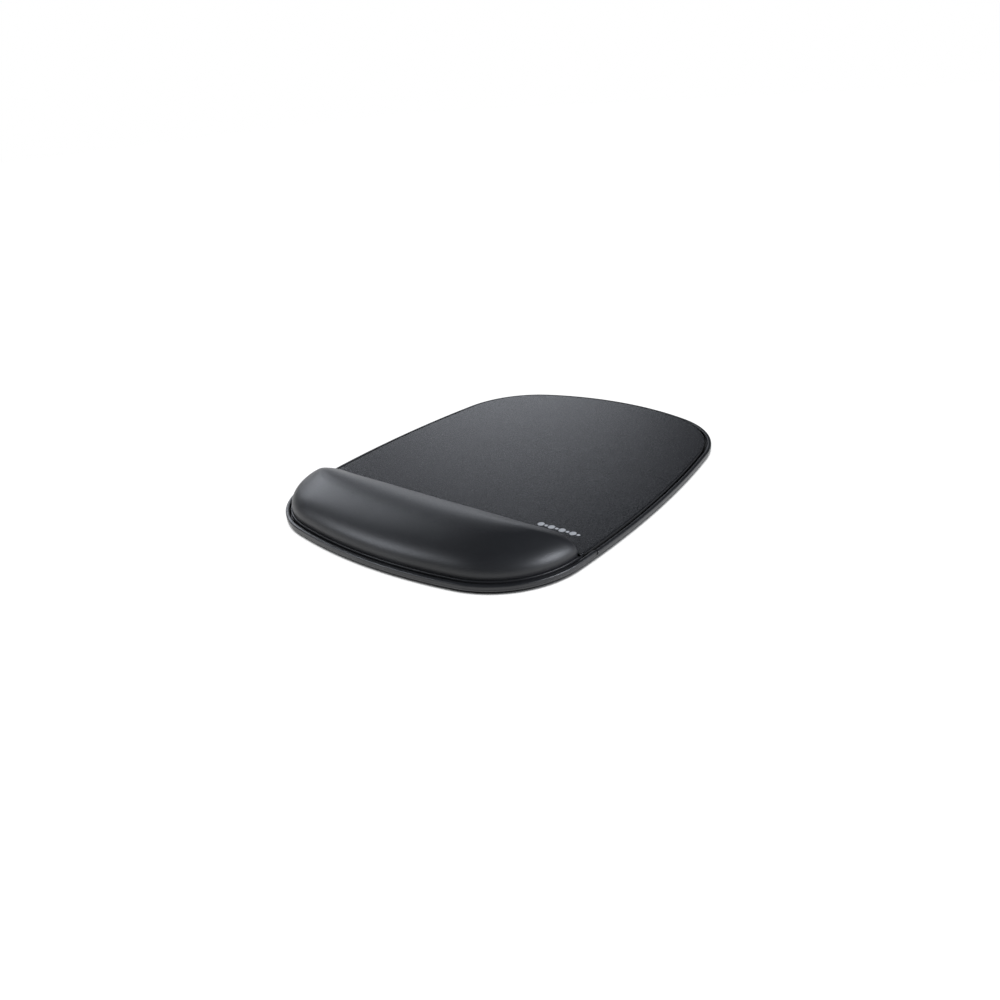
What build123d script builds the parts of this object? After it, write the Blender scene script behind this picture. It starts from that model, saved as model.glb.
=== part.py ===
"""Mouse pad with a built-in gel wrist rest, modelled as the layers it is assembled from.

Millimetres. X runs across the pad, Y runs from the user towards the back, Z is up. The origin
is on the desk, below the middle of the pad's outline.
"""

import os
from math import hypot, radians, sin, sqrt, tan

from build123d import *

os.makedirs("parts", exist_ok=True)

# Plan of the whole pad: four large arcs, joined by two front and two rear corner radii
overall_width = 180.0
overall_depth = 229.0
front_radius = 252.0
rear_radius = 152.0
side_radius = 554.0
front_corner_radius = 47.0
rear_corner_radius = 51.0
widest_y = -19.5

# Thicknesses, from the desk up
sole_thickness = 0.8
glue_thickness = 0.1
tray_floor_thickness = 0.8
core_thickness = 2.0
surface_thickness = 0.6
flange_thickness = 1.0
ink_thickness = 0.1

# Edge of the tray: a rounded bead around a shallow pocket
bead_width = 2.1
bead_height = 2.2
bead_outer_round = 1.1
bead_inner_round = 0.8
foot_undercut = 0.8
sole_inset = 1.6

# The bead beside the cushion is a strip of its own, seated on a lower step of the tray
rim_seat_height = 0.7
rim_rise = 0.4
rim_end_y = -54.7
rim_end_gap = 0.3

# Contents of the pocket
groove_width = 1.7
core_gap = 0.3
tuck_depth = 3.0
lip_width = 0.9
lip_rise = 1.0

# Seam between the mouse surface and the cushion: straight, then swept forward at both ends
seam_y = -56.0
seam_bend_x = 74.0
seam_sweep_angle = 31.0
seam_bend_radius = 22.0

# Wrist cushion
cushion_height = 20.0
cushion_foot_gap = 0.4
cushion_seam_gap = 0.4
crest_share = 0.45
front_fullness = 0.62
rear_fullness = 0.46
end_exponent = 3.5
last_section_share = 0.985
section_shares = (0.0, 0.25, 0.48, 0.68, 0.84, 0.94, last_section_share)

# What the cushion holds
cover_thickness = 1.0
fill_gap = 0.15
film_thickness = 0.3
foam_thickness = 4.0

# Printed mark: a row of plain dots, large and small in turn
dot_count = 8
dot_pitch = 3.05
large_dot_radius = 1.7
small_dot_radius = 0.9
mark_x = 63.2
mark_y = -47.1
mark_angle = -1.2

# Heights that follow from the thicknesses
tray_bottom = sole_thickness + glue_thickness
pocket_floor = tray_bottom + tray_floor_thickness
tray_top = pocket_floor + bead_height
layer_bottom = pocket_floor + glue_thickness
core_top = layer_bottom + core_thickness
surface_bottom = core_top + glue_thickness
surface_top = surface_bottom + surface_thickness
flange_top = core_top
flange_bottom = flange_top - flange_thickness
rim_seat = pocket_floor + rim_seat_height
rim_top = tray_top + rim_rise
foam_top = flange_bottom + foam_thickness
film_top = foam_top + film_thickness
surface_inset = bead_width + groove_width
lip_inset = surface_inset - lip_width
lip_top = flange_top + lip_rise
cushion_inset = surface_inset + cushion_foot_gap
far = overall_depth + overall_width


def corner_centre():
    """Centre of the right front corner arc, inside both the front arc and the side arc."""
    front_y = front_radius - overall_depth / 2
    side_x = overall_width / 2 - side_radius
    reach_front = front_radius - front_corner_radius
    reach_side = side_radius - front_corner_radius
    span = hypot(side_x, front_y - widest_y)
    along = (reach_front**2 - reach_side**2 + span**2) / (2 * span)
    across = sqrt(reach_front**2 - along**2)
    step_x = side_x / span
    step_y = (widest_y - front_y) / span
    return along * step_x - across * step_y, front_y + along * step_y + across * step_x


def front_edge_y(x, inset):
    """Y of the pad's front edge at x, when the outline is moved in by inset."""
    corner_x, corner_y = corner_centre()
    front_y = front_radius - overall_depth / 2
    share = (front_radius - inset) / (front_radius - front_corner_radius)
    if abs(x) <= corner_x * share:
        return front_y - sqrt((front_radius - inset) ** 2 - x**2)
    return corner_y - sqrt((front_corner_radius - inset) ** 2 - (abs(x) - corner_x) ** 2)


def seam_line_y(x):
    """Y of the seam at x: straight in the middle, a tangent arc, then the swept end."""
    sweep = radians(seam_sweep_angle)
    past_tangent = abs(x) - seam_bend_x + seam_bend_radius * tan(sweep / 2)
    if past_tangent <= 0:
        return seam_y
    if past_tangent < seam_bend_radius * sin(sweep):
        return seam_y - seam_bend_radius + sqrt(seam_bend_radius**2 - past_tangent**2)
    return seam_y - (abs(x) - seam_bend_x) * tan(sweep)


def pad_outline(inset=0.0):
    """Plan of the pad, moved in by inset: every arc keeps its centre and loses that much radius."""
    with BuildSketch(mode=Mode.PRIVATE) as plan:
        with Locations((0, front_radius - overall_depth / 2)):
            Circle(front_radius - inset)
        with Locations((0, overall_depth / 2 - rear_radius)):
            Circle(rear_radius - inset, mode=Mode.INTERSECT)
        for side in (1, -1):
            with Locations((side * (overall_width / 2 - side_radius), widest_y)):
                Circle(side_radius - inset, mode=Mode.INTERSECT)
        fillet(plan.vertices().group_by(Axis.Y)[0], front_corner_radius - inset)
        fillet(plan.vertices().group_by(Axis.Y)[-1], rear_corner_radius - inset)
    return plan.sketch


def behind_seam(shift=0.0):
    """The half plane behind the seam, with the seam moved back by shift."""
    outer_y = seam_line_y(far) + shift
    with BuildSketch(mode=Mode.PRIVATE) as plan:
        with BuildLine():
            FilletPolyline(
                (-far, outer_y),
                (-seam_bend_x, seam_y + shift),
                (seam_bend_x, seam_y + shift),
                (far, outer_y),
                radius=seam_bend_radius,
            )
            Polyline((far, outer_y), (far, far), (-far, far), (-far, outer_y))
        make_face()
    return plan.sketch


def cushion_body(inset=0.0):
    """Wrist cushion moved in by inset: one loft of domed sections along X, flat underneath.

    It is as wide as its front edge reaches on the corner arcs.
    """
    half_width = corner_centre()[0] + front_corner_radius - cushion_inset - inset
    height = cushion_height - flange_bottom - inset
    right = [share * half_width for share in section_shares]
    left = [-x for x in reversed(right[1:])]
    with BuildPart(mode=Mode.PRIVATE) as body:
        for x in left + right:
            front = front_edge_y(x, cushion_inset + inset)
            back = seam_line_y(x) - cushion_seam_gap - inset
            crest = front + crest_share * (back - front)
            top = height * (1 - (abs(x) / half_width) ** end_exponent) ** (1 / end_exponent)
            foot_plane = Plane(origin=(x, 0, flange_bottom), x_dir=(0, 1, 0), z_dir=(1, 0, 0))
            with BuildSketch(foot_plane):
                with BuildLine():
                    Bezier(
                        (front, 0),
                        (front, front_fullness * top),
                        (crest - front_fullness * (crest - front), top),
                        (crest, top),
                    )
                    Bezier(
                        (crest, top),
                        (crest + rear_fullness * (back - crest), top),
                        (back, rear_fullness * top),
                        (back, 0),
                    )
                    Line((back, 0), (front, 0))
                make_face()
        loft()
    return body.part


# Textured rubber sheet that grips the desk
with BuildPart() as non_slip_sole:
    with BuildSketch():
        add(pad_outline(sole_inset))
    extrude(amount=sole_thickness)

# Glue film between the sole and the tray
with BuildPart() as sole_adhesive:
    with BuildSketch(Plane.XY.offset(sole_thickness)):
        add(pad_outline(sole_inset))
    extrude(amount=glue_thickness)

# Moulded tray: floor, undercut foot, and a rounded bead around the pocket
with BuildPart() as base_tray:
    with BuildSketch(Plane.XY.offset(tray_bottom)):
        add(pad_outline())
    extrude(amount=tray_top - tray_bottom)
    with BuildSketch(Plane.XY.offset(pocket_floor)):
        add(pad_outline(bead_width))
    extrude(amount=bead_height, mode=Mode.SUBTRACT)
    outer_top = base_tray.faces().sort_by(Axis.Z)[-1].outer_wire().edges()
    fillet(outer_top, bead_outer_round)
    inner_top = base_tray.faces().sort_by(Axis.Z)[-1].inner_wires()[0].edges()
    fillet(inner_top, bead_inner_round)
    foot = base_tray.faces().sort_by(Axis.Z)[0].outer_wire().edges()
    chamfer(foot, foot_undercut)
    with BuildSketch(Plane.XY.offset(rim_seat)):
        with Locations((0, rim_end_y)):
            Rectangle(far, far, align=(Align.CENTER, Align.MAX))
    extrude(amount=far, mode=Mode.SUBTRACT)

# Bead strip around the cushion, seated on the tray's lower step
with BuildPart() as cushion_rim:
    with BuildSketch(Plane.XY.offset(rim_seat)):
        add(pad_outline())
        add(pad_outline(bead_width), mode=Mode.SUBTRACT)
    extrude(amount=rim_top - rim_seat)
    outer_top = cushion_rim.faces().sort_by(Axis.Z)[-1].outer_wire().edges()
    fillet(outer_top, bead_outer_round)
    inner_top = cushion_rim.faces().sort_by(Axis.Z)[-1].inner_wires()[0].edges()
    fillet(inner_top, bead_inner_round)
    with BuildSketch(Plane.XY.offset(rim_seat)):
        with Locations((0, rim_end_y - rim_end_gap)):
            Rectangle(far, far, align=(Align.CENTER, Align.MIN))
    extrude(amount=far, mode=Mode.SUBTRACT)

# Glue film that holds the foam core in the tray
with BuildPart() as core_adhesive:
    with BuildSketch(Plane.XY.offset(pocket_floor)):
        add(pad_outline(surface_inset + core_gap))
        add(behind_seam(tuck_depth + core_gap), mode=Mode.INTERSECT)
    extrude(amount=glue_thickness)

# Foam core below the mouse surface
with BuildPart() as pad_core:
    with BuildSketch(Plane.XY.offset(layer_bottom)):
        add(pad_outline(surface_inset + core_gap))
        add(behind_seam(tuck_depth + core_gap), mode=Mode.INTERSECT)
    extrude(amount=core_thickness)

# Glue film below the mouse surface, over the core and the cushion's tucked flange
with BuildPart() as surface_adhesive:
    with BuildSketch(Plane.XY.offset(core_top)):
        add(pad_outline(surface_inset))
        add(behind_seam(), mode=Mode.INTERSECT)
    extrude(amount=glue_thickness)

# Row of ink dots at the sheet's right front corner, flush with the sheet
with BuildPart() as printed_mark:
    mark_plane = Plane(origin=(mark_x, mark_y, surface_top)).rotated((0, 0, mark_angle))
    with BuildSketch(mark_plane):
        for index in range(dot_count):
            with Locations(((index - (dot_count - 1) / 2) * dot_pitch, 0)):
                Circle(small_dot_radius if index % 2 else large_dot_radius)
    extrude(amount=-ink_thickness)

# Fine-grained sheet that the mouse runs on, with the ink let into its face
with BuildPart() as mouse_surface:
    with BuildSketch(Plane.XY.offset(surface_bottom)):
        add(pad_outline(surface_inset))
        add(behind_seam(), mode=Mode.INTERSECT)
    extrude(amount=surface_thickness)
    add(printed_mark.part, mode=Mode.SUBTRACT)

# Glue film that holds the wrist rest in the tray
with BuildPart() as cushion_adhesive:
    with BuildSketch(Plane.XY.offset(pocket_floor)):
        add(pad_outline(surface_inset))
        add(behind_seam(tuck_depth), mode=Mode.SUBTRACT)
    extrude(amount=glue_thickness)

# Stiff board under the wrist rest
with BuildPart() as cushion_backing:
    with BuildSketch(Plane.XY.offset(layer_bottom)):
        add(pad_outline(surface_inset))
        add(behind_seam(tuck_depth), mode=Mode.SUBTRACT)
    extrude(amount=flange_bottom - layer_bottom)

# Soft cover: a domed skin, a flat flange that tucks under the mouse surface, and a raised lip
# along the outline that folds down round the board
cover_outside = cushion_body()
cover_inside = cushion_body(cover_thickness)
with BuildPart() as cushion_cover:
    with BuildSketch(Plane.XY.offset(flange_bottom)):
        add(pad_outline(surface_inset))
        add(behind_seam(tuck_depth), mode=Mode.SUBTRACT)
    extrude(amount=flange_thickness)
    with BuildSketch(Plane.XY.offset(layer_bottom)):
        add(pad_outline(lip_inset))
        add(pad_outline(surface_inset), mode=Mode.SUBTRACT)
        add(behind_seam(), mode=Mode.SUBTRACT)
    extrude(amount=lip_top - layer_bottom)
    add(cover_outside)
    add(cover_inside, mode=Mode.SUBTRACT)

# Slow-recovery foam layer under the gel
pouch_outside = cushion_body(cover_thickness + fill_gap)
with BuildPart() as foam_bed:
    add(pouch_outside)
    with BuildSketch(Plane.XY.offset(flange_bottom)):
        Rectangle(far, far)
    extrude(amount=foam_thickness, mode=Mode.INTERSECT)

# Lower film of the gel pouch
with BuildPart() as gel_film_lower:
    add(pouch_outside)
    with BuildSketch(Plane.XY.offset(foam_top)):
        Rectangle(far, far)
    extrude(amount=film_thickness, mode=Mode.INTERSECT)

# Upper film of the gel pouch
with BuildPart() as gel_film_upper:
    add(pouch_outside)
    add(cushion_body(cover_thickness + fill_gap + film_thickness), mode=Mode.SUBTRACT)
    with BuildSketch(Plane.XY.offset(film_top)):
        Rectangle(far, far)
    extrude(amount=cushion_height, mode=Mode.INTERSECT)

# Gel that the wrist sinks into
with BuildPart() as gel_core:
    add(cushion_body(cover_thickness + 2 * fill_gap + film_thickness))
    with BuildSketch(Plane.XY.offset(film_top)):
        Rectangle(far, far)
    extrude(amount=cushion_height, mode=Mode.INTERSECT)

pieces = {
    "non_slip_sole": non_slip_sole,
    "sole_adhesive": sole_adhesive,
    "base_tray": base_tray,
    "cushion_rim": cushion_rim,
    "core_adhesive": core_adhesive,
    "pad_core": pad_core,
    "surface_adhesive": surface_adhesive,
    "mouse_surface": mouse_surface,
    "printed_mark": printed_mark,
    "cushion_adhesive": cushion_adhesive,
    "cushion_backing": cushion_backing,
    "cushion_cover": cushion_cover,
    "foam_bed": foam_bed,
    "gel_film_lower": gel_film_lower,
    "gel_film_upper": gel_film_upper,
    "gel_core": gel_core,
}
for name, piece in pieces.items():
    piece.part.label = name
    export_step(piece.part, f"parts/{name}.step")
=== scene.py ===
import math

import bmesh
import bpy
import numpy as np
from mathutils import Matrix, Vector


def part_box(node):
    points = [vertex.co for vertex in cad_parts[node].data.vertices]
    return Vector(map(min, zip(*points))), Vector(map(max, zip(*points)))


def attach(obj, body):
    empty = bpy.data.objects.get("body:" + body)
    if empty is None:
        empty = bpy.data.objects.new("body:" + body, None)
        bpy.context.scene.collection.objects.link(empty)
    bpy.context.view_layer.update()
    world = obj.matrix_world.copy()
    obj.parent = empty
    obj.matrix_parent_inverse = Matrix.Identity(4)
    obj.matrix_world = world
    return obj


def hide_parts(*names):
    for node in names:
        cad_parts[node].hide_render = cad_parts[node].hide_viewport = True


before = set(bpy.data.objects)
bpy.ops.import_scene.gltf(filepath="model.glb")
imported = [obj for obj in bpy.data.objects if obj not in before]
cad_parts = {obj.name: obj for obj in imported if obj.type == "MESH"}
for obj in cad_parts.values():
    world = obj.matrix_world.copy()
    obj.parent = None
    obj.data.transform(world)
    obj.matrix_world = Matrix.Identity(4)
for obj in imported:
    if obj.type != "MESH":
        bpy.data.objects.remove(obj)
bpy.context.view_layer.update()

mm = 0.001
searchSteps = 4000  # places tried along the outline when one has to be found
print("frame loaded:", len(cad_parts), "nodes")


# Plan of the pad: a long arc at the front, one at the rear and one each side, with a round corner
# between each two
plan = {
    "frontRadius": 252 * mm,
    "rearRadius": 152 * mm,
    "sideRadius": 554 * mm,
    "frontCorner": 47 * mm,
    "rearCorner": 51 * mm,
    "widestY": -19.5 * mm,
}
trayLow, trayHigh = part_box("base_tray")
halfWidth = trayHigh[0]
halfDepth = trayHigh[1]


def crossingPoint(centreA, reachA, centreB, reachB):
    # Two circles cross beside the line of centres: walk along it to the shared chord, then half the chord
    line = centreB - centreA
    span = np.hypot(*line)
    along = (reachA**2 - reachB**2 + span**2) / (2 * span)
    half = math.sqrt(reachA**2 - along**2)
    step = line / span
    aside = np.array([-step[1], step[0]])
    ends = [centreA + along * step + side * half * aside for side in (1, -1)]
    return max(ends, key=lambda point: point[0])


frontCentre = np.array([0.0, plan["frontRadius"] - halfDepth])
rearCentre = np.array([0.0, halfDepth - plan["rearRadius"]])
sideCentre = np.array([halfWidth - plan["sideRadius"], plan["widestY"]])
frontCornerCentre = crossingPoint(
    frontCentre, plan["frontRadius"] - plan["frontCorner"],
    sideCentre, plan["sideRadius"] - plan["frontCorner"],
)
rearCornerCentre = crossingPoint(
    rearCentre, plan["rearRadius"] - plan["rearCorner"],
    sideCentre, plan["sideRadius"] - plan["rearCorner"],
)


def directionFrom(centre, point):
    return math.atan2(point[1] - centre[1], point[0] - centre[0])


# Right half from the front to the rear: where each arc starts, as the direction that the edge faces there
halfBreaks = [
    -math.pi / 2,
    directionFrom(frontCentre, frontCornerCentre),
    directionFrom(sideCentre, frontCornerCentre),
    directionFrom(sideCentre, rearCornerCentre),
    directionFrom(rearCentre, rearCornerCentre),
]
halfRadii = [plan[key] for key in ("frontRadius", "frontCorner", "sideRadius", "rearCorner", "rearRadius")]
halfCentres = [frontCentre, frontCornerCentre, sideCentre, rearCornerCentre, rearCentre]
mirrored = [centre * np.array([-1.0, 1.0]) for centre in halfCentres]
turn = 2 * math.pi
breaks = np.array(halfBreaks + [math.pi - b for b in reversed(halfBreaks[1:])] + [turn - math.pi / 2])
radii = np.array(halfRadii + list(reversed(halfRadii[:-1])))
centres = np.array(halfCentres + list(reversed(mirrored[:-1])))
breaks = np.concatenate([breaks[:-1], breaks + turn])
radii = np.tile(radii, 2)
centres = np.tile(centres, (2, 1))
lengths = np.concatenate([[0.0], np.cumsum(radii * np.diff(breaks))])


def outlinePoints(facing, inset):
    # Centre of the arc that faces that way, plus its radius less the inset along that direction
    facing, inset = np.broadcast_arrays(facing, inset)
    arc = np.clip(np.searchsorted(breaks, facing, side="right") - 1, 0, len(radii) - 1)
    reach = radii[arc] - inset
    x = centres[arc, 0] + reach * np.cos(facing)
    y = centres[arc, 1] + reach * np.sin(facing)
    return x, y


def evenFacings(start, end, count):
    # Directions from start to end whose points lie evenly along the outline
    distance = np.linspace(np.interp(start, breaks, lengths), np.interp(end, breaks, lengths), count)
    return np.interp(distance, lengths, breaks)


def facingAtY(y, inset):
    # Direction that the right side faces at height y of the plan
    facing = np.linspace(halfBreaks[1], halfBreaks[4], searchSteps)
    return float(np.interp(y, outlinePoints(facing, inset)[1], facing))


def frontY(x, inset):
    # Front edge at x: the front arc in the middle, and the corner arc past the point where they touch
    share = (plan["frontRadius"] - inset) / (plan["frontRadius"] - plan["frontCorner"])
    arc = frontCentre[1] - np.sqrt((plan["frontRadius"] - inset) ** 2 - x**2)
    room = (plan["frontCorner"] - inset) ** 2 - (np.abs(x) - frontCornerCentre[0]) ** 2
    corner = frontCornerCentre[1] - np.sqrt(np.maximum(room, 0))
    return np.where(np.abs(x) <= frontCornerCentre[0] * share, arc, corner)


# Seam between the mouse surface and the cushion
seam = {
    "y": -56 * mm,
    "bendX": 74 * mm,
    "sweep": math.radians(31),
    "bendRadius": 22 * mm,
}


def seamY(x):
    # Straight in the middle, a tangent arc at the bend, then a straight swept end
    past = np.abs(x) - seam["bendX"] + seam["bendRadius"] * math.tan(seam["sweep"] / 2)
    bend = seam["y"] - seam["bendRadius"] + np.sqrt(np.maximum(seam["bendRadius"] ** 2 - past**2, 0))
    swept = seam["y"] - (np.abs(x) - seam["bendX"]) * math.tan(seam["sweep"])
    onArc = past < seam["bendRadius"] * math.sin(seam["sweep"])
    return np.where(past <= 0, seam["y"], np.where(onArc, bend, swept))


# Heights, all read from the frame
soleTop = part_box("non_slip_sole")[1][2]
trayBottom = trayLow[2]
beadTop = trayHigh[2]
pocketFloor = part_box("core_adhesive")[0][2]
rimSeat, rimTop = (corner[2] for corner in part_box("cushion_rim"))
sheetBottom, sheetTop = (corner[2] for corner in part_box("mouse_surface"))
coverLow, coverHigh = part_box("cushion_cover")
flangeBottom = coverLow[2]
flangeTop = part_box("pad_core")[1][2]
edge = {
    "beadWidth": 2.1 * mm,
    "lipInset": 2.9 * mm,
    "sheetInset": 3.8 * mm,
    "soleInset": 1.6 * mm,
    "footUndercut": 0.8 * mm,
    "rimEndY": -54.7 * mm,
    "rimEndGap": 0.3 * mm,
}


def tidyMesh(obj, mergeDistance=1e-6):
    mesh = obj.data
    work = bmesh.new()
    work.from_mesh(mesh)
    bmesh.ops.remove_doubles(work, verts=work.verts, dist=mergeDistance)
    bmesh.ops.dissolve_degenerate(work, edges=work.edges, dist=mergeDistance)
    bmesh.ops.recalc_face_normals(work, faces=work.faces)
    work.to_mesh(mesh)
    work.free()
    mesh.polygons.foreach_set("use_smooth", np.ones(len(mesh.polygons), dtype=bool))
    mesh.update()


def gridPiece(name, grids):
    # Each grid is (points, wrapRows, wrapColumns): rows by columns of places, joined by four-sided faces
    places, faces, offset = [], [], 0
    for points, wrapRows, wrapColumns in grids:
        rows, columns = points.shape[:2]
        index = np.arange(rows * columns).reshape(rows, columns) + offset
        if wrapRows:
            index = np.vstack([index, index[:1]])
        if wrapColumns:
            index = np.hstack([index, index[:, :1]])
        quads = np.stack([index[:-1, :-1], index[1:, :-1], index[1:, 1:], index[:-1, 1:]], axis=-1)
        places.append(points.reshape(-1, 3))
        faces.append(quads.reshape(-1, 4))
        offset += rows * columns
    mesh = bpy.data.meshes.new(name)
    mesh.from_pydata(np.concatenate(places).tolist(), [], np.concatenate(faces).tolist())
    obj = bpy.data.objects.new(name, mesh)
    bpy.context.scene.collection.objects.link(obj)
    tidyMesh(obj)
    return obj


def roundedProfile(points, rounds, steps=8):
    # Each corner becomes a quadratic curve between its two legs, cut back from it by the round
    points = np.array(points, dtype=float)
    bend = np.linspace(0, 1, steps)[:, None]
    parts = [points[:1]]
    for before, corner, after, cut in zip(points[:-2], points[1:-1], points[2:], rounds):
        if cut <= 0:
            parts.append(corner[None])
            continue
        start = corner + (before - corner) / np.hypot(*(before - corner)) * cut
        end = corner + (after - corner) / np.hypot(*(after - corner)) * cut
        parts.append((1 - bend) ** 2 * start + 2 * bend * (1 - bend) * corner + bend**2 * end)
    parts.append(points[-1:])
    return np.concatenate(parts)


def alongOutline(facing, profile):
    # Profile of (inset, height) carried along the outline: one row for each direction
    x, y = outlinePoints(facing[:, None], profile[None, :, 0])
    z = np.broadcast_to(profile[None, :, 1], x.shape)
    return np.stack([x, y, z], axis=-1)


def towardsMiddle(ring, shares):
    # Copies of a closed ring of places, drawn in to the middle of the pad by each share
    middle = np.array([0.0, 0.0, 1.0])
    keep = np.array(shares)[None, :, None]
    flat = ring[:, None, :] * np.array([1.0, 1.0, 0.0])
    return flat * keep + ring[:, None, :] * middle


def newMaterial(name, colour, roughness, specular=0.5):
    material = bpy.data.materials.new(name)
    material.use_nodes = True
    shader = material.node_tree.nodes["Principled BSDF"]
    shader.inputs["Base Color"].default_value = (*colour, 1)
    shader.inputs["Roughness"].default_value = roughness
    shader.inputs["Specular IOR Level"].default_value = specular
    return material, shader


def addNode(material, kind, **values):
    node = material.node_tree.nodes.new(kind)
    for key, value in values.items():
        if key in node.inputs:
            node.inputs[key].default_value = value
        else:
            setattr(node, key, value)
    return node


def link(material, source, target):
    material.node_tree.links.new(source, target)


def objectCoordinates(material):
    return addNode(material, "ShaderNodeTexCoord").outputs["Object"]


def noiseOf(material, scale, detail=3.0, roughness=0.5):
    node = addNode(material, "ShaderNodeTexNoise", Scale=scale, Detail=detail, Roughness=roughness)
    link(material, objectCoordinates(material), node.inputs["Vector"])
    return node.outputs["Fac"]


def cellsOf(material, scale):
    node = addNode(material, "ShaderNodeTexVoronoi", feature="F1", Scale=scale)
    link(material, objectCoordinates(material), node.inputs["Vector"])
    return node.outputs["Distance"]


def spread(material, source, low, high, fromLow=0.0, fromHigh=1.0):
    node = addNode(material, "ShaderNodeMapRange")
    for key, value in zip(("From Min", "From Max", "To Min", "To Max"), (fromLow, fromHigh, low, high)):
        node.inputs[key].default_value = value
    link(material, source, node.inputs["Value"])
    return node.outputs["Result"]


def colourBy(material, shader, source, dark, light, low=0.3, high=0.7):
    # Base colour runs from dark to light as the source runs from low to high
    node = addNode(material, "ShaderNodeMix", data_type="RGBA")
    colours = [socket for socket in node.inputs if socket.type == "RGBA"]
    colours[0].default_value = (*dark, 1)
    colours[1].default_value = (*light, 1)
    link(material, spread(material, source, 0, 1, low, high), node.inputs["Factor"])
    mixed = [socket for socket in node.outputs if socket.type == "RGBA"][0]
    link(material, mixed, shader.inputs["Base Color"])


def addBumps(material, shader, layers):
    # Layers of (height source, distance in metres, strength), the coarsest first
    normal = None
    for height, distance, strength in layers:
        bump = addNode(material, "ShaderNodeBump", Strength=strength, Distance=distance)
        link(material, height, bump.inputs["Height"])
        if normal is not None:
            link(material, normal, bump.inputs["Normal"])
        normal = bump.outputs["Normal"]
    link(material, normal, shader.inputs["Normal"])


def wear(obj, material):
    obj.data.materials.clear()
    obj.data.materials.append(material)


def wearBelow(obj, material, height):
    # Faces whose middle lies below the height get the second material
    obj.data.materials.append(material)
    middles = np.empty(len(obj.data.polygons) * 3)
    obj.data.polygons.foreach_get("center", middles)
    slots = (middles.reshape(-1, 3)[:, 2] < height).astype(np.int32)
    obj.data.polygons.foreach_set("material_index", slots)


def roughBy(material, shader, source, smooth, rough, low=0.3, high=0.7):
    # Roughness runs from smooth to rough as the source runs from low to high
    link(material, spread(material, source, smooth, rough, low, high), shader.inputs["Roughness"])


# Each finish has a dark and a light colour, the patterns' scales per metre, a roughness from smooth to
# rough, and bumps as (height, strength)
rubber = {
    "dark": (0.012, 0.0125, 0.014),
    "light": (0.021, 0.022, 0.024),
    "cloudScale": 60,
    "grainScale": 2600,
    "roughness": (0.30, 0.42),
    "grainBump": (0.06 * mm, 0.5),
}


def makeMouldedRubber(name):
    material, shader = newMaterial(name, rubber["dark"], rubber["roughness"][1])
    cloud = noiseOf(material, rubber["cloudScale"], 4)
    grain = noiseOf(material, rubber["grainScale"], 2)
    colourBy(material, shader, cloud, rubber["dark"], rubber["light"])
    roughBy(material, shader, grain, *rubber["roughness"])
    addBumps(material, shader, [(grain, *rubber["grainBump"])])
    return material


leatherLook = {
    "dark": (0.013, 0.0135, 0.015),
    "light": (0.020, 0.021, 0.023),
    "cloudScale": 35,
    "grainScale": 1500,
    "poreScale": 2300,
    "roughness": (0.38, 0.48),
    "grainBump": (0.04 * mm, 0.35),
    "poreBump": (0.03 * mm, 0.35),
}


def makeLeather():
    material, shader = newMaterial("satinLeather", leatherLook["dark"], leatherLook["roughness"][1])
    pores = cellsOf(material, leatherLook["poreScale"])
    grain = noiseOf(material, leatherLook["grainScale"], 4, 0.6)
    cloud = noiseOf(material, leatherLook["cloudScale"], 3)
    colourBy(material, shader, cloud, leatherLook["dark"], leatherLook["light"])
    roughBy(material, shader, grain, *leatherLook["roughness"])
    addBumps(material, shader, [(grain, *leatherLook["grainBump"]), (pores, *leatherLook["poreBump"])])
    return material


sheetLook = {
    "dark": (0.008, 0.0085, 0.010),
    "light": (0.019, 0.020, 0.022),
    "speckleScale": 900,
    "fineScale": 2600,
    "speckleRange": (0.35, 0.75),
    "roughness": (0.20, 0.30),
    "speckleBump": (0.16 * mm, 0.7),
    "fineBump": (0.06 * mm, 0.5),
}


def makeSheet():
    material, shader = newMaterial("speckledSheet", sheetLook["dark"], sheetLook["roughness"][1])
    speckle = noiseOf(material, sheetLook["speckleScale"], 3, 0.7)
    fine = noiseOf(material, sheetLook["fineScale"], 2, 0.6)
    colourBy(material, shader, speckle, sheetLook["dark"], sheetLook["light"], *sheetLook["speckleRange"])
    roughBy(material, shader, fine, *sheetLook["roughness"])
    addBumps(material, shader, [(speckle, *sheetLook["speckleBump"]), (fine, *sheetLook["fineBump"])])
    return material


ink = {
    "dark": (0.48, 0.49, 0.50),
    "light": (0.62, 0.63, 0.64),
    "patchScale": 2400,
    "roughness": 0.55,
    "specular": 0.4,
    "patchBump": (0.03 * mm, 0.4),
}


def makeInk():
    material, shader = newMaterial("paleInk", ink["light"], ink["roughness"], ink["specular"])
    patch = noiseOf(material, ink["patchScale"], 3, 0.6)
    colourBy(material, shader, patch, ink["dark"], ink["light"])
    addBumps(material, shader, [(patch, *ink["patchBump"])])
    return material


soleLook = {
    "dark": (0.006, 0.006, 0.007),
    "light": (0.014, 0.014, 0.015),
    "cloudScale": 90,
    "grainScale": 3000,
    "roughness": (0.65, 0.85),
    "specular": 0.15,
    "grainBump": (0.08 * mm, 0.6),
}


def makeSoleRubber(name):
    material, shader = newMaterial(name, soleLook["dark"], soleLook["roughness"][1], soleLook["specular"])
    cloud = noiseOf(material, soleLook["cloudScale"], 4)
    grain = noiseOf(material, soleLook["grainScale"], 3)
    colourBy(material, shader, cloud, soleLook["dark"], soleLook["light"])
    roughBy(material, shader, grain, *soleLook["roughness"])
    addBumps(material, shader, [(grain, *soleLook["grainBump"])])
    return material


innerBump = (0.1 * mm, 0.5)


def makeInner(name, dark, light, roughness, scale):
    # Plain inner layers: foam, glue, film, gel and board
    material, shader = newMaterial(name, dark, roughness)
    patch = noiseOf(material, scale, 4)
    colourBy(material, shader, patch, dark, light)
    addBumps(material, shader, [(patch, *innerBump)])
    return material


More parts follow.
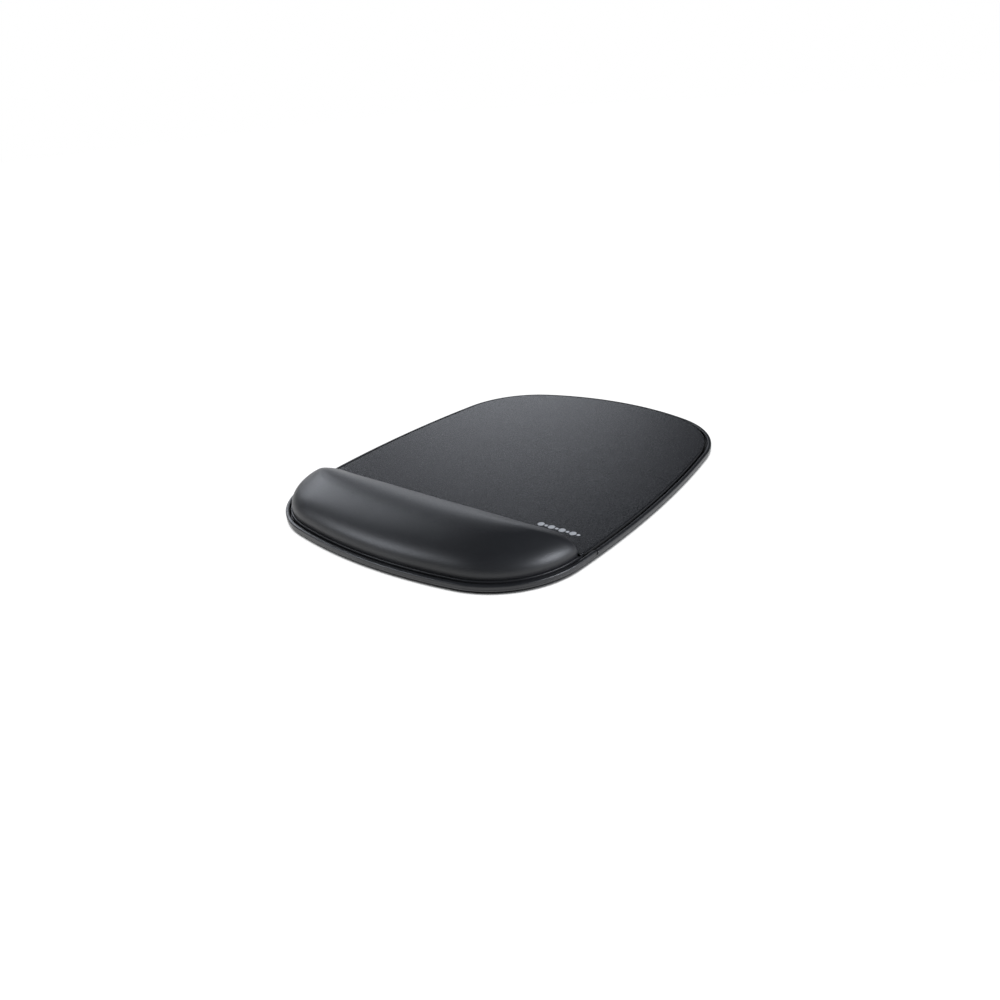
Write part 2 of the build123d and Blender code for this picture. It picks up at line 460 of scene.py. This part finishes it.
mouldedRubber = makeMouldedRubber("mouldedRubber")
rimRubber = makeMouldedRubber("rimRubber")
leather = makeLeather()
sheetFinish = makeSheet()
paleInk = makeInk()
gripRubber = makeSoleRubber("gripRubber")
# Same rubber as the sole, worn on the tray's foot as painted shade at the base
footPaintedShade = makeSoleRubber("footPaintedShade")
print("finishes made")


tray = {
    "rearStations": 392,
    "frontStations": 168,
    "footRound": 0.45 * mm,
    "outerRound": 1.0 * mm,
    "innerRound": 0.7 * mm,
    "seatRound": 0.12 * mm,
    "underRound": 0.1 * mm,
    "pocketRound": 0.3 * mm,
    "footShadeShare": 0.9,  # of the undercut: faces below it get darker, duller rubber, painted shade at the base
    "middleShares": (0.9, 0.6, 0.3, 0.0),
}


def trayProfile(top, width, outerRound, innerRound):
    # Undercut foot, side wall, rounded top and the pocket's wall, as (inset, height)
    undercut = edge["footUndercut"]
    points = [
        (3 * undercut, trayBottom),
        (undercut, trayBottom),
        (0.0, trayBottom + undercut),
        (0.0, top),
        (width, top),
        (width, pocketFloor),
        (2 * width, pocketFloor),
    ]
    rounds = [tray["underRound"], tray["footRound"], outerRound, innerRound, tray["pocketRound"]]
    return roundedProfile(points, rounds)


def makeTray():
    cut = facingAtY(edge["rimEndY"], edge["beadWidth"] / 2)
    rear = evenFacings(cut, math.pi - cut, tray["rearStations"])
    front = evenFacings(math.pi - cut, turn + cut, tray["frontStations"])
    bead = trayProfile(beadTop, edge["beadWidth"], tray["outerRound"], tray["innerRound"])
    seat = trayProfile(rimSeat, edge["beadWidth"], tray["seatRound"], tray["seatRound"])
    walls = np.concatenate([alongOutline(rear, bead), alongOutline(front, seat)])
    under = towardsMiddle(walls[:, 0], tray["middleShares"][::-1])
    floor = towardsMiddle(walls[:, -1], tray["middleShares"])
    points = np.concatenate([under, walls, floor], axis=1)
    obj = gridPiece("tray", [(points, True, False)])
    wear(obj, mouldedRubber)
    # Painted shade: the undercut foot gets the sole's darker, duller rubber for the dark line where the
    # pad meets the floor
    wearBelow(obj, footPaintedShade, trayBottom + edge["footUndercut"] * tray["footShadeShare"])
    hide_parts("base_tray")
    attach(obj, "root")


makeTray()
print("tray made")


rim = {
    "stations": 260,
    "outerRound": 1.0 * mm,
    "innerRound": 0.75 * mm,
    "footRound": 0.15 * mm,
    "endRound": 0.35 * mm,
    "endShrink": 0.15,
}


def makeRim():
    # A closed bead section carried round the front, a little smaller at its ends and closed to a point
    cut = facingAtY(edge["rimEndY"] - edge["rimEndGap"], edge["beadWidth"] / 2)
    facing = evenFacings(math.pi - cut, turn + cut, rim["stations"])
    width = edge["beadWidth"]
    half = width / 2
    start = (half, rimSeat)
    points = [start, (0, rimSeat), (0, rimTop), (width, rimTop), (width, rimSeat), start]
    rounds = [rim["footRound"], rim["outerRound"], rim["innerRound"], rim["footRound"]]
    loop = roundedProfile(points, rounds)[:-1]
    middle = loop.mean(axis=0)
    distance = np.interp(facing, breaks, lengths)
    fromEnd = np.minimum(distance - distance[0], distance[-1] - distance)
    swell = 1 - rim["endShrink"] * (1 - np.sqrt(np.clip(fromEnd / rim["endRound"], 0.0, 1.0)))
    rows = middle + (loop - middle) * swell[:, None, None]
    end = np.broadcast_to(middle, (1, *loop.shape))
    rows = np.concatenate([end, rows, end])
    facing = np.concatenate([facing[:1], facing, facing[-1:]])
    x, y = outlinePoints(facing[:, None], rows[:, :, 0])
    obj = gridPiece("cushionBead", [(np.stack([x, y, rows[:, :, 1]], axis=-1), False, True)])
    wear(obj, rimRubber)
    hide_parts("cushion_rim")
    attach(obj, "root")


makeRim()
print("rim made")


sheet = {
    "rimStations": 460,
    "seamStations": 180,
    "edgeRound": 0.28 * mm,
    "edgeReach": 0.34 * mm,
    "underRound": 0.05 * mm,
    "middleY": 30 * mm,
    "shares": (0.992, 0.97, 0.9, 0.75, 0.5, 0.25, 0.0),
}


def seamMeets(inset, shift=0.0):
    # Direction that the right side faces where the seam, moved forward by the shift, runs into it
    facing = np.linspace(halfBreaks[1], halfBreaks[3], 2 * searchSteps)
    x, y = outlinePoints(facing, inset)
    return float(facing[np.argmax(y > seamY(x) - shift)])


def sheetBoundary():
    # The outline moved in, from the seam's right end round the back to its left end, then the seam
    inset = edge["sheetInset"]
    meet = seamMeets(inset)
    around = evenFacings(meet, math.pi - meet, sheet["rimStations"])
    rimX, rimY = outlinePoints(around, inset)
    acrossX = np.linspace(rimX[-1], rimX[0], sheet["seamStations"])[1:-1]
    return np.concatenate([np.stack([rimX, rimY], -1), np.stack([acrossX, seamY(acrossX)], -1)])


def outwardOf(loop):
    # Unit normals of a closed loop that runs anticlockwise
    along = np.roll(loop, -1, axis=0) - np.roll(loop, 1, axis=0)
    along /= np.linalg.norm(along, axis=1, keepdims=True)
    return np.stack([along[:, 1], -along[:, 0]], axis=-1)


def makeSheetPiece():
    loop = sheetBoundary()
    outward = outwardOf(loop)
    cut = sheet["edgeRound"]
    reach = sheet["edgeReach"]
    section = [(reach, sheetBottom), (0, sheetBottom), (0, sheetTop), (reach, sheetTop)]
    profile = roundedProfile(section, [sheet["underRound"], cut], 6)
    place = loop[:, None, :] - outward[:, None, :] * profile[None, :, 0:1]
    height = np.broadcast_to(profile[None, :, 1:2], (*place.shape[:2], 1))
    walls = np.concatenate([place, height], axis=-1)
    middle = np.array([0.0, sheet["middleY"], 0.0])
    top = towardsMiddle(walls[:, -1] - middle, sheet["shares"]) + middle
    bottom = towardsMiddle(walls[:, 0] - middle, sheet["shares"][::-1]) + middle
    obj = gridPiece("mouseSurface", [(np.concatenate([bottom, walls, top], axis=1), True, False)])
    wear(obj, sheetFinish)
    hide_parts("mouse_surface")
    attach(obj, "root")


makeSheetPiece()
print("mouse surface made")


mark = {
    "centre": (63.2 * mm, -47.1 * mm),
    "angle": math.radians(-1.2),
    "dots": 8,
    "pitch": 3.05 * mm,
    "largeRadius": 1.7 * mm,
    "smallRadius": 0.9 * mm,
    "proud": 0.02 * mm,
    "sunk": 0.1 * mm,
    "around": 48,
    "reachShares": (0.0, 1.0, 1.0, 0.96, 0.5, 0.0),
}


def makeMark():
    # A row of plain dots: each is a disc of rings, flat on top with its rim turned down into the sheet
    turned = np.linspace(0, turn, mark["around"], endpoint=False)
    step = mark["pitch"] * np.array([math.cos(mark["angle"]), math.sin(mark["angle"])])
    sunk, proud = mark["sunk"], mark["proud"]
    up = np.array([-sunk, -sunk, 0.3 * proud, proud, proud, proud])
    grids = []
    for index in range(mark["dots"]):
        radius = mark["smallRadius"] if index % 2 else mark["largeRadius"]
        centre = np.array(mark["centre"]) + (index - (mark["dots"] - 1) / 2) * step
        reach = radius * np.array(mark["reachShares"])
        x = centre[0] + reach[None, :] * np.cos(turned)[:, None]
        y = centre[1] + reach[None, :] * np.sin(turned)[:, None]
        z = np.broadcast_to(sheetTop + up, x.shape)
        grids.append((np.stack([x, y, z], axis=-1), True, False))
    obj = gridPiece("markDots", grids)
    wear(obj, paleInk)
    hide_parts("printed_mark")
    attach(obj, "root")


makeMark()
print("mark made")


cushion = {
    "footInset": 3.95 * mm,
    "seamGap": 0.4 * mm,
    "tipRound": 15 * mm,
    "spineHalf": 61 * mm,
    "crestShare": 0.47,
    "endCrestShare": 0.53,
    "endDrop": 2.3 * mm,
    "wallFill": 0.04,
    "frontFullness": 2.35,
    "rearFullness": 1.5,
    "tipFullness": 2.2,
    "crownEnd": 84 * mm,
    "crownPower": 6,
    "blendFrom": 0.3,
    "blendOver": 0.5,
    "coverThickness": 0.9 * mm,
    "sections": 281,
    "steps": 52,
    "frontPlaces": 1201,
    "rearPlaces": 1001,
    "firstPlaces": 1500,
    "fill": 0.9,
    "tuck": 3.0 * mm,
    "lipTop": 4.8 * mm,
    "lipFoot": 1.9 * mm,
    "lipRound": 0.4 * mm,
    "lipTaper": 3.0 * mm,
    "underlap": 0.3 * mm,
    "creaseRound": 0.12 * mm,
    "rearOverlap": 0.2 * mm,
}


def evenlySpaced(line, count):
    # Points at equal distances along an open line
    length = np.concatenate([[0.0], np.cumsum(np.hypot(*np.diff(line, axis=0).T))])
    steps = np.linspace(0, length[-1], count)
    return np.stack([np.interp(steps, length, line[:, axis]) for axis in (0, 1)], axis=-1)


def cushionFoot(inset):
    # Front edge and rear edge of the dome's foot, both from the left tip to the right tip. A weighted
    # average along the closed loop rounds the two tips and leaves the long arcs as they are.
    gap = cushion["seamGap"] + inset
    meet = seamMeets(cushion["footInset"] + inset, gap)
    many, frontCount = cushion["firstPlaces"], cushion["frontPlaces"]
    facing = evenFacings(math.pi - meet, turn + meet, many)
    front = evenlySpaced(np.stack(outlinePoints(facing, cushion["footInset"] + inset), -1), frontCount)
    rearX = np.linspace(front[-1, 0], front[0, 0], many)
    rear = evenlySpaced(np.stack([rearX, seamY(rearX) - gap], -1), cushion["rearPlaces"])
    loop = np.concatenate([front[:-1], rear[:-1]])
    spacing = np.hypot(*(front[1] - front[0]))
    reach = int(cushion["tipRound"] / spacing / 2)
    weight = np.hanning(2 * reach + 3)[1:-1]
    weight /= weight.sum()
    wrapped = np.concatenate([loop[-reach:], loop, loop[:reach]])
    smooth = np.stack([np.convolve(wrapped[:, axis], weight, mode="valid") for axis in (0, 1)], -1)
    frontSmooth = evenlySpaced(smooth[:frontCount], cushion["sections"])
    rearSmooth = evenlySpaced(np.concatenate([smooth[frontCount - 1:], smooth[:1]]), cushion["sections"])
    return frontSmooth, rearSmooth[::-1]


def crownHeight(place, crestY, edgeY, fullness):
    # Share of full height near the crest: a quarter ellipse from the crest to the edge, times the slow
    # fall towards the two ends
    aside = np.clip((place[..., 1] - crestY) / (edgeY - crestY), 0, 1)
    along = np.clip(np.abs(place[..., 0]) / cushion["crownEnd"], 0, 1) ** cushion["crownPower"]
    return (1 - aside**2) ** (1 / fullness) * (1 - along) ** (1 / cushion["tipFullness"])


def crestLine(x):
    # Front edge, rear edge and crest of the dome at x
    share = np.clip(np.abs(x) / cushion["spineHalf"], 0, 1)
    crest = cushion["crestShare"] + (cushion["endCrestShare"] - cushion["crestShare"]) * share**4
    edgeFront = frontY(x, cushion["footInset"])
    edgeRear = seamY(x) - cushion["seamGap"]
    return edgeFront, edgeRear, edgeFront + (edgeRear - edgeFront) * crest


def cushionDome(inset):
    # From each place on the foot a quarter ellipse, made fuller or flatter, rises to a spine, a line
    # along the crest that stops short of both ends, so the ends are as full as the sides. The wall fill
    # pushes the low part out a little, as gel does. Near the crest the height blends into the crown.
    front, rear = cushionFoot(inset)
    across = np.linspace(-1, 1, cushion["sections"])
    spineX = cushion["spineHalf"] * np.sin(across * math.pi / 2)
    share = np.abs(np.sin(across * math.pi / 2))
    spine = np.stack([spineX, crestLine(spineX)[2]], -1)
    fullHeight = coverHigh[2] - flangeTop - inset
    height = fullHeight - cushion["endDrop"] * share**6 * (7 - 6 * share)
    middle = (1 - across**4)[:, None]
    angle = np.linspace(0, math.pi / 2, cushion["steps"])[None, :]
    fill = cushion["wallFill"] * np.sin(math.pi * np.sqrt(angle / (math.pi / 2))) ** 2
    halves = []
    for foot, sideFullness in ((front, cushion["frontFullness"]), (rear, cushion["rearFullness"])):
        fullness = cushion["tipFullness"] + (sideFullness - cushion["tipFullness"]) * middle
        inward = 1 - np.cos(angle) - fill
        up = np.sin(angle) ** (2 / fullness)
        place = foot[:, None] + (spine - foot)[:, None] * inward[..., None]
        edgeFront, edgeRear, crestY = crestLine(place[..., 0])
        edgeY = edgeFront if foot is front else edgeRear
        crown = crownHeight(place, crestY, edgeY, sideFullness)
        blend = np.clip((1 - np.cos(angle) - cushion["blendFrom"]) / cushion["blendOver"], 0, 1)
        blend = blend * blend * (3 - 2 * blend)
        tall = height[:, None] * up * (1 - blend) + fullHeight * crown * blend
        halves.append(np.concatenate([place, (flangeTop + tall)[..., None]], axis=-1))
    return np.concatenate([halves[0], halves[1][:, -2::-1]], axis=1)


def loopOf(dome):
    # Foot of the dome as one closed loop: the front edge to the right, then the rear edge back
    return np.concatenate([dome[:-1, 0], dome[::-1, -1][:-1]])


def makeCover():
    # Rows run from the dome's foot over the crease, the raised lip and its outer wall, then back
    # underneath to the inner skin. Behind the cushion the same rows make the flat tucked flange.
    outer = cushionDome(0.0)
    inner = cushionDome(cushion["coverThickness"])
    count = cushion["sections"] - 1
    inset, lipInset, cut = edge["sheetInset"], edge["lipInset"], cushion["lipRound"]
    underside = inset - 0.1 * mm
    section = [
        (inset + cushion["underlap"], flangeTop),
        (inset, flangeTop),
        (inset, cushion["lipTop"]),
        (lipInset, cushion["lipTop"]),
        (lipInset, cushion["lipFoot"]),
        (underside, cushion["lipFoot"]),
        (underside, flangeBottom),
    ]
    lip = roundedProfile(section, [cushion["creaseRound"], cut, cut, 0.1 * mm, 0.05 * mm], 6)
    meet = seamMeets(inset)
    facing = evenFacings(math.pi - meet, turn + meet, count)
    distance = np.interp(facing, breaks, lengths)
    fromEnd = np.minimum(distance - distance[0], distance[-1] - distance)
    share = np.clip(fromEnd / cushion["lipTaper"], 0, 1)
    rise = (share * share * (3 - 2 * share))[:, None]
    front = alongOutline(facing, lip)
    low = np.where(lip[:, 1] > flangeTop, flangeTop, np.maximum(lip[:, 1], flangeBottom))[None, :]
    front[..., 2] = low + (front[..., 2] - low) * rise
    rearX = np.linspace(front[-1, 0, 0], front[0, 0, 0], count)
    tuck = cushion["tuck"]
    lap = -cushion["rearOverlap"]
    legs = np.array([(lap, flangeTop), (tuck, flangeTop), (tuck, flangeBottom), (0, flangeBottom)])
    steps = np.linspace(0, len(legs) - 1, len(lip))
    back = np.interp(steps, range(len(legs)), legs[:, 0])[None, :] + seamY(rearX)[:, None]
    tall = np.broadcast_to(np.interp(steps, range(len(legs)), legs[:, 1])[None, :], back.shape)
    rear = np.stack([np.broadcast_to(rearX[:, None], back.shape), back, tall], axis=-1)
    flat, floor = np.array([1.0, 1.0, 0.0]), np.array([0, 0, flangeBottom])
    outerFoot, innerFoot = loopOf(outer)[:, None], loopOf(inner)[:, None]
    rows = [outerFoot, np.concatenate([front, rear]), innerFoot * flat + floor, innerFoot]
    flange = np.concatenate(rows, axis=1)
    obj = gridPiece("cushionCover", [(outer, False, False), (inner, False, False), (flange, True, False)])
    wear(obj, leather)
    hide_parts("cushion_cover")
    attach(obj, "root")


makeCover()
print("cushion made")


sole = {
    "stations": 420,
    "rings": 110,
    "pitch": 6 * mm,
    "grooveDepth": 0.22 * mm,
    "steepness": 3,
    "edgeRound": 0.2 * mm,
    "topRound": 0.05 * mm,
    "plainBorder": 0.96,
}


def makeSole():
    # Pads and hollows underneath follow the product of two sine waves, cut off to flat tops and floors
    facing = evenFacings(-math.pi / 2, turn - math.pi / 2, sole["stations"] + 1)[:-1]
    near, far = edge["soleInset"], edge["soleInset"] + 4 * sole["edgeRound"]
    section = [(far, 0), (near, 0), (near, soleTop), (far, soleTop)]
    profile = roundedProfile(section, [sole["edgeRound"], sole["topRound"]], 5)
    walls = alongOutline(facing, profile)
    share = np.linspace(0, 1, sole["rings"])[:-1]
    under = towardsMiddle(walls[:, 0], share)
    top = towardsMiddle(walls[:, -1], (0.5, 0.0))
    wave = np.prod(np.sin(under[..., :2] * math.pi / sole["pitch"]), axis=-1)
    hollow = (1 + np.clip(wave * sole["steepness"], -1, 1)) / 2
    under[..., 2] += sole["grooveDepth"] * hollow * (share < sole["plainBorder"])
    obj = gridPiece("gripSole", [(np.concatenate([under, walls, top], axis=1), True, False)])
    wear(obj, gripRubber)
    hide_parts("non_slip_sole")
    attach(obj, "root")


makeSole()
print("sole made")


# Inner layers stay as the frame has them, and only get a finish
innerFinishes = {
    "glue": makeInner("driedGlue", (0.03, 0.03, 0.03), (0.05, 0.05, 0.048), 0.6, 300),
    "blackFoam": makeInner("blackFoam", (0.02, 0.02, 0.02), (0.035, 0.035, 0.035), 0.9, 1800),
    "creamFoam": makeInner("creamFoam", (0.62, 0.58, 0.45), (0.75, 0.71, 0.58), 0.9, 1500),
    "gel": makeInner("blueGel", (0.30, 0.50, 0.60), (0.40, 0.58, 0.66), 0.25, 120),
    "film": makeInner("clearFilm", (0.55, 0.58, 0.60), (0.65, 0.68, 0.70), 0.2, 200),
    "board": makeInner("blackBoard", (0.025, 0.025, 0.025), (0.04, 0.04, 0.04), 0.5, 700),
}
innerPieces = {
    "glue": ("sole_adhesive", "core_adhesive", "surface_adhesive", "cushion_adhesive"),
    "blackFoam": ("pad_core",),
    "creamFoam": ("foam_bed",),
    "gel": ("gel_core",),
    "film": ("gel_film_lower", "gel_film_upper"),
    "board": ("cushion_backing",),
}
for finishName, nodeNames in innerPieces.items():
    for nodeName in nodeNames:
        wear(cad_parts[nodeName], innerFinishes[finishName])
print("inner layers finished")


studio = {
    "floorSize": 8.0,
    "floorDrop": 0.1 * mm,
    # dark grey under the glow, so the painted contact shadow near the object shows dark
    "floorColour": (0.12, 0.12, 0.12),
    "floorGlow": 1.0,
    "shadeReach": 1.6 * mm,
    "shadeRange": (0.45, 0.85),
    "skyColour": (0.92, 0.96, 1.04),
    "skyStrength": 0.03,
    "panelStrength": 1.6,
    "panelBearing": math.radians(129),
    "panelHeight": math.radians(10),
    "panelInner": math.radians(2),
    "panelOuter": math.radians(16),
}
softboxes = {
    # name: (place, aims at, width, height, watts), in metres
    "frontLeft": ((-0.75, -0.85, 0.6), (-0.05, -0.08, 0.01), 0.55, 0.4, 6.2),
    "right": ((0.95, 0.15, 0.45), (0.06, -0.08, 0.01), 0.5, 0.45, 10.5),
    "left": ((-0.95, 0.25, 0.5), (-0.06, -0.08, 0.01), 0.5, 0.45, 3.0),
}
cameraView = {
    "target": (20.25 * mm, -36.91 * mm, 5.0 * mm),
    "azimuth": 39.8,
    "elevation": 26.1,
    "roll": -4.83,
    "distance": 439 * mm,
    "lens": 31.45,
    "sensor": 36,
}


def makeFloor():
    # A pale floor that glows white, with a painted contact shadow: the glow fades close to the object,
    # where the floor's own dark grey shows
    mesh = bpy.data.meshes.new("floor")
    half, low = studio["floorSize"] / 2, -studio["floorDrop"]
    corners = [(-half, -half, low), (half, -half, low), (half, half, low), (-half, half, low)]
    mesh.from_pydata(corners, [], [(0, 1, 2, 3)])
    obj = bpy.data.objects.new("floor", mesh)
    bpy.context.scene.collection.objects.link(obj)
    material, shader = newMaterial("paleFloor", studio["floorColour"], 0.9, 0.2)
    shader.inputs["Emission Color"].default_value = (1, 1, 1, 1)
    # Painted contact shadow: ambient occlusion near the object turns the floor's glow down
    nearness = addNode(material, "ShaderNodeAmbientOcclusion", Distance=studio["shadeReach"], samples=4)
    glow = spread(material, nearness.outputs["AO"], 0.0, studio["floorGlow"], *studio["shadeRange"])
    link(material, glow, shader.inputs["Emission Strength"])
    wear(obj, material)


def makeSoftboxes():
    for name, (place, aim, width, height, watts) in softboxes.items():
        lamp = bpy.data.lights.new(name, "AREA")
        lamp.shape = "RECTANGLE"
        lamp.size, lamp.size_y, lamp.energy = width, height, watts
        lamp.color = studio["skyColour"]
        obj = bpy.data.objects.new(name, lamp)
        bpy.context.scene.collection.objects.link(obj)
        obj.location = place
        obj.rotation_euler = (Vector(aim) - Vector(place)).to_track_quat("-Z", "Y").to_euler()


def makeWorld():
    # A dim room with one wide soft panel low at the back left, and a plain pale backdrop
    world = bpy.data.worlds.new("studio")
    bpy.context.scene.world = world
    world.use_nodes = True
    nodes, links = world.node_tree.nodes, world.node_tree.links
    bearing, height = studio["panelBearing"], studio["panelHeight"]
    direction = nodes.new("ShaderNodeTexCoord")
    towards = nodes.new("ShaderNodeVectorMath")
    towards.operation = "DOT_PRODUCT"
    flat = Vector((math.cos(bearing), math.sin(bearing), 0)) * math.cos(height)
    towards.inputs[1].default_value = flat + Vector((0, 0, math.sin(height)))
    fall = nodes.new("ShaderNodeMapRange")
    fall.interpolation_type = "SMOOTHSTEP"
    fall.inputs["From Min"].default_value = math.cos(studio["panelOuter"])
    fall.inputs["From Max"].default_value = math.cos(studio["panelInner"])
    fall.inputs["To Min"].default_value = studio["skyStrength"]
    fall.inputs["To Max"].default_value = studio["panelStrength"]
    room = nodes["Background"]
    room.inputs["Color"].default_value = (*studio["skyColour"], 1)
    backdrop = nodes.new("ShaderNodeBackground")
    backdrop.inputs["Color"].default_value = (1, 1, 1, 1)
    seen = nodes.new("ShaderNodeLightPath")
    choose = nodes.new("ShaderNodeMixShader")
    links.new(direction.outputs["Generated"], towards.inputs[0])
    links.new(towards.outputs["Value"], fall.inputs["Value"])
    links.new(fall.outputs["Result"], room.inputs["Strength"])
    links.new(seen.outputs["Is Camera Ray"], choose.inputs["Fac"])
    links.new(room.outputs["Background"], choose.inputs[1])
    links.new(backdrop.outputs["Background"], choose.inputs[2])
    links.new(choose.outputs["Shader"], nodes["World Output"].inputs["Surface"])


def makeCamera():
    azimuth, elevation, roll = (math.radians(cameraView[key]) for key in ("azimuth", "elevation", "roll"))
    level = math.cos(elevation)
    back = Vector((math.sin(azimuth) * level, -math.cos(azimuth) * level, math.sin(elevation)))
    right = Vector((math.cos(azimuth), math.sin(azimuth), 0))
    up = back.cross(right)
    rolledRight = right * math.cos(roll) + up * math.sin(roll)
    rolledUp = up * math.cos(roll) - right * math.sin(roll)
    lens = bpy.data.cameras.new("camera")
    lens.lens, lens.sensor_width = cameraView["lens"], cameraView["sensor"]
    lens.clip_start, lens.clip_end = 0.01, 50
    obj = bpy.data.objects.new("camera", lens)
    bpy.context.scene.collection.objects.link(obj)
    turned = Matrix((rolledRight, rolledUp, back)).transposed().to_4x4()
    turned.translation = Vector(cameraView["target"]) + back * cameraView["distance"]
    obj.matrix_world = turned
    bpy.context.scene.camera = obj


makeFloor()
makeSoftboxes()
makeWorld()
makeCamera()
bpy.context.scene.view_settings.view_transform = "Standard"
print("studio made")
